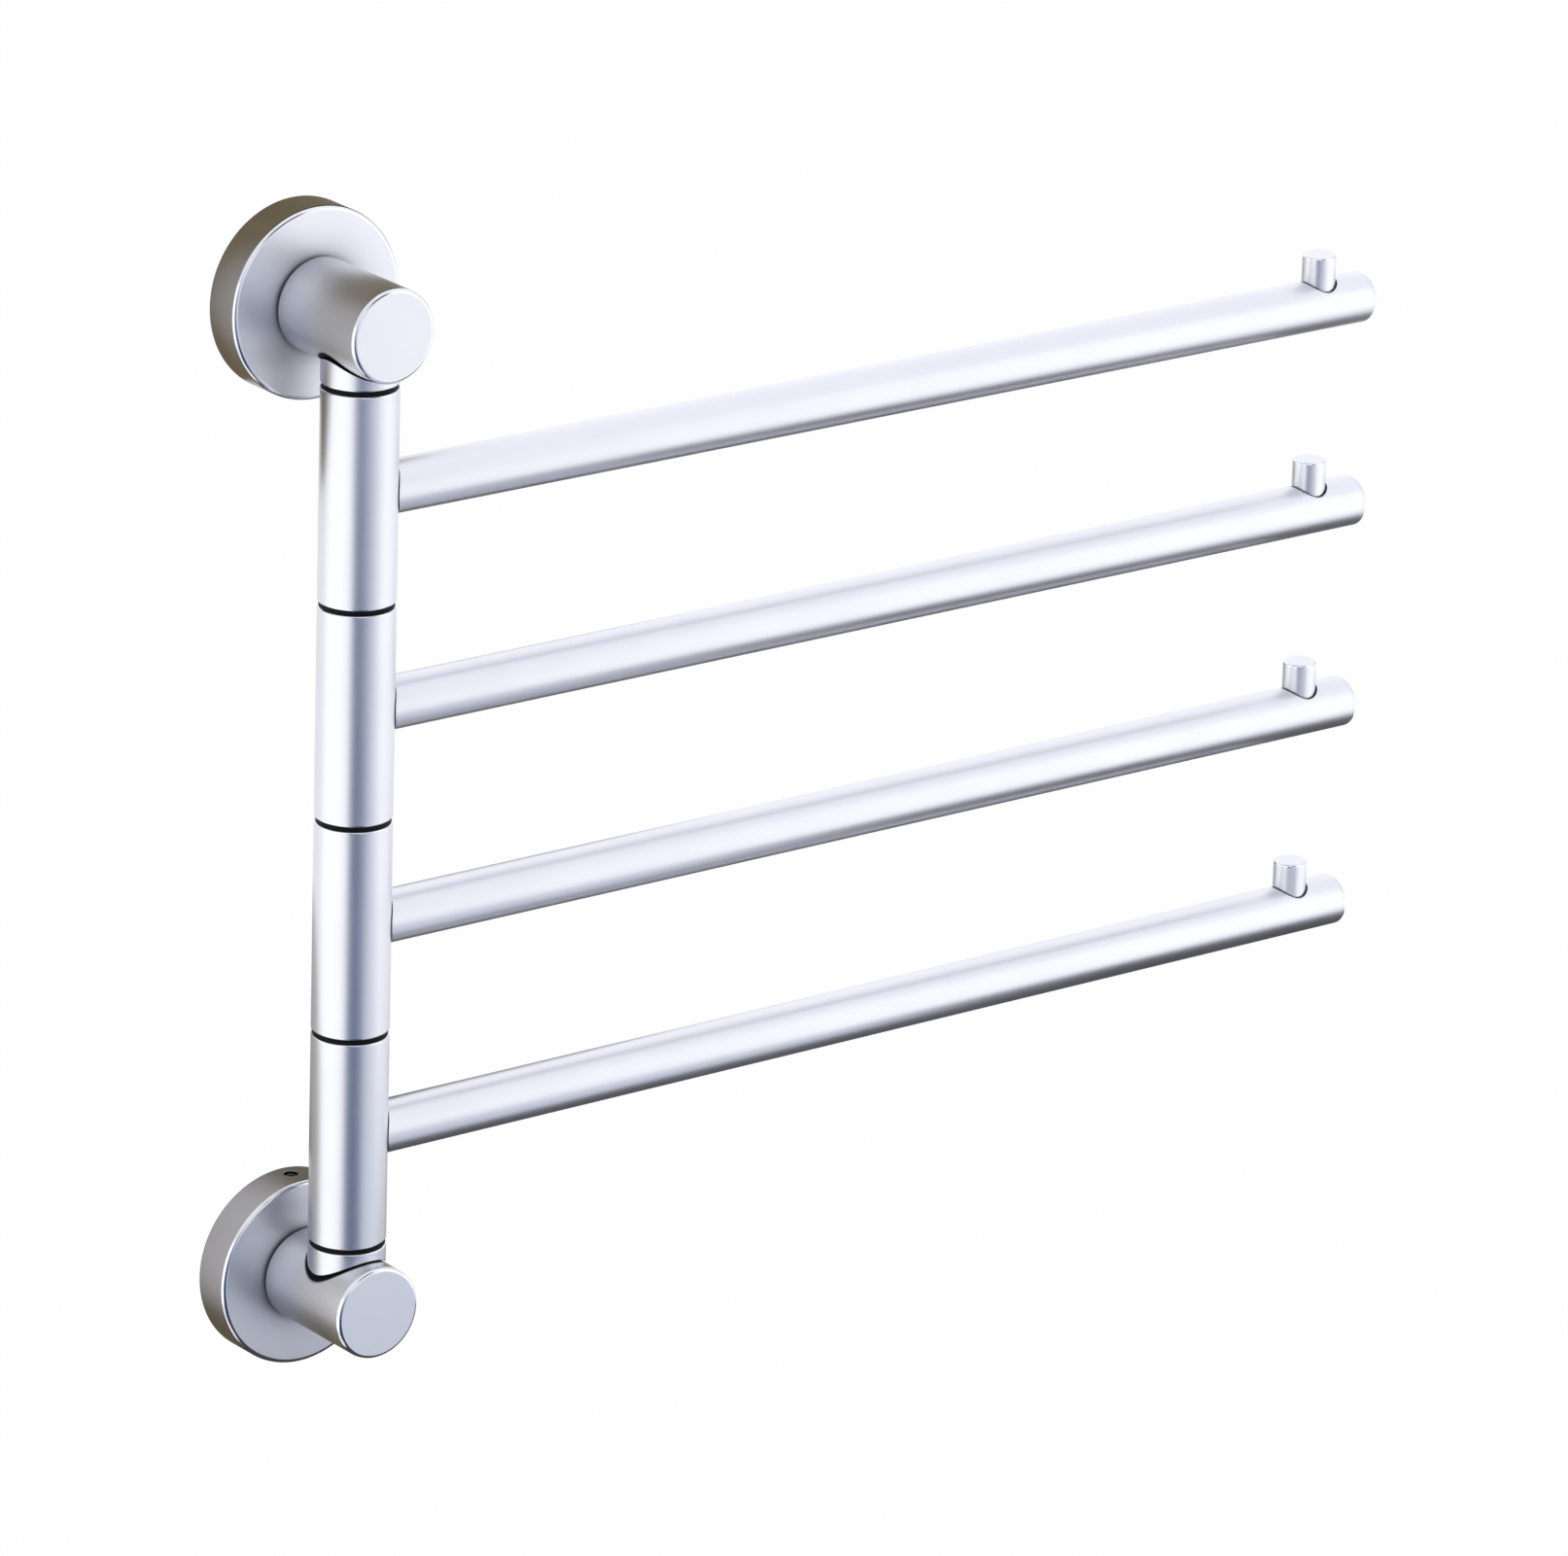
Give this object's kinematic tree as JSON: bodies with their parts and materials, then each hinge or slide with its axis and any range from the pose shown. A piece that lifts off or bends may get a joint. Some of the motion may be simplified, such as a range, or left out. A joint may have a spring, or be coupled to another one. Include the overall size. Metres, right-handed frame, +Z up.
{
  "type": "swing arm towel bar",
  "caption": "Wall-mounted towel rack: round bars with upright end pegs swing on sleeves of an upright column, held off the wall by round posts on round wall flanges.",
  "frame": {"origin": "on the wall plane, at the centre of the four wall-screw holes, midway between the two wall flanges", "axes": "+Z up along the column; +Y into the wall, so the wall plane is Y = 0 and the room is at -Y; +X along the wall, the way the bars point at rest"},
  "size_m": [0.3855, 0.049, 0.3408],
  "materials": {
    "satin_aluminium": "satin anodised, fine blasted grain",
    "cast_alloy": "plain as-machined alloy, hidden",
    "rod_steel": "bright drawn steel",
    "screw_steel": "plain stainless steel",
    "black_nylon": "matt black",
    "natural_nylon": "matt off-white"
  },
  "bodies": {
    "rack": {"upper_wall_bracket": "cast_alloy", "upper_flange_cup": "satin_aluminium", "upper_grub_screw": "screw_steel", "upper_post": "satin_aluminium", "upper_clamp_washer": "screw_steel", "upper_post_screw": "screw_steel", "upper_saddle_collar": "satin_aluminium", "lower_wall_bracket": "cast_alloy", "lower_flange_cup": "satin_aluminium", "lower_grub_screw": "screw_steel", "lower_post": "satin_aluminium", "lower_clamp_washer": "screw_steel", "lower_post_screw": "screw_steel", "lower_saddle_collar": "satin_aluminium", "pivot_rod": "rod_steel", "washer_1": "black_nylon", "washer_2": "black_nylon", "washer_3": "black_nylon", "washer_4": "black_nylon", "washer_5": "black_nylon"},
    "arm_1": {"sleeve_1": "satin_aluminium", "bushes_1": "natural_nylon", "bar_1": "satin_aluminium", "root_plug_1": "cast_alloy", "root_screw_1": "screw_steel", "end_cap_1": "satin_aluminium", "peg_1": "satin_aluminium"},
    "arm_2": {"sleeve_2": "satin_aluminium", "bushes_2": "natural_nylon", "bar_2": "satin_aluminium", "root_plug_2": "cast_alloy", "root_screw_2": "screw_steel", "end_cap_2": "satin_aluminium", "peg_2": "satin_aluminium"},
    "arm_3": {"sleeve_3": "satin_aluminium", "bushes_3": "natural_nylon", "bar_3": "satin_aluminium", "root_plug_3": "cast_alloy", "root_screw_3": "screw_steel", "end_cap_3": "satin_aluminium", "peg_3": "satin_aluminium"},
    "arm_4": {"sleeve_4": "satin_aluminium", "bushes_4": "natural_nylon", "bar_4": "satin_aluminium", "root_plug_4": "cast_alloy", "root_screw_4": "screw_steel", "end_cap_4": "satin_aluminium", "peg_4": "satin_aluminium"}
  },
  "joints": [
    {"name": "arm_1_swing", "type": "hinge", "parent": "rack", "child": "arm_1", "pos_m": [0, -0.033, 0.0942], "axis": [0, 0, -1], "range_deg": [0, 180]},
    {"name": "arm_2_swing", "type": "hinge", "parent": "rack", "child": "arm_2", "pos_m": [0, -0.033, 0.0314], "axis": [0, 0, -1], "range_deg": [0, 180]},
    {"name": "arm_3_swing", "type": "hinge", "parent": "rack", "child": "arm_3", "pos_m": [0, -0.033, -0.0314], "axis": [0, 0, -1], "range_deg": [0, 180]},
    {"name": "arm_4_swing", "type": "hinge", "parent": "rack", "child": "arm_4", "pos_m": [0, -0.033, -0.0942], "axis": [0, 0, -1], "range_deg": [0, 180]}
  ]
}
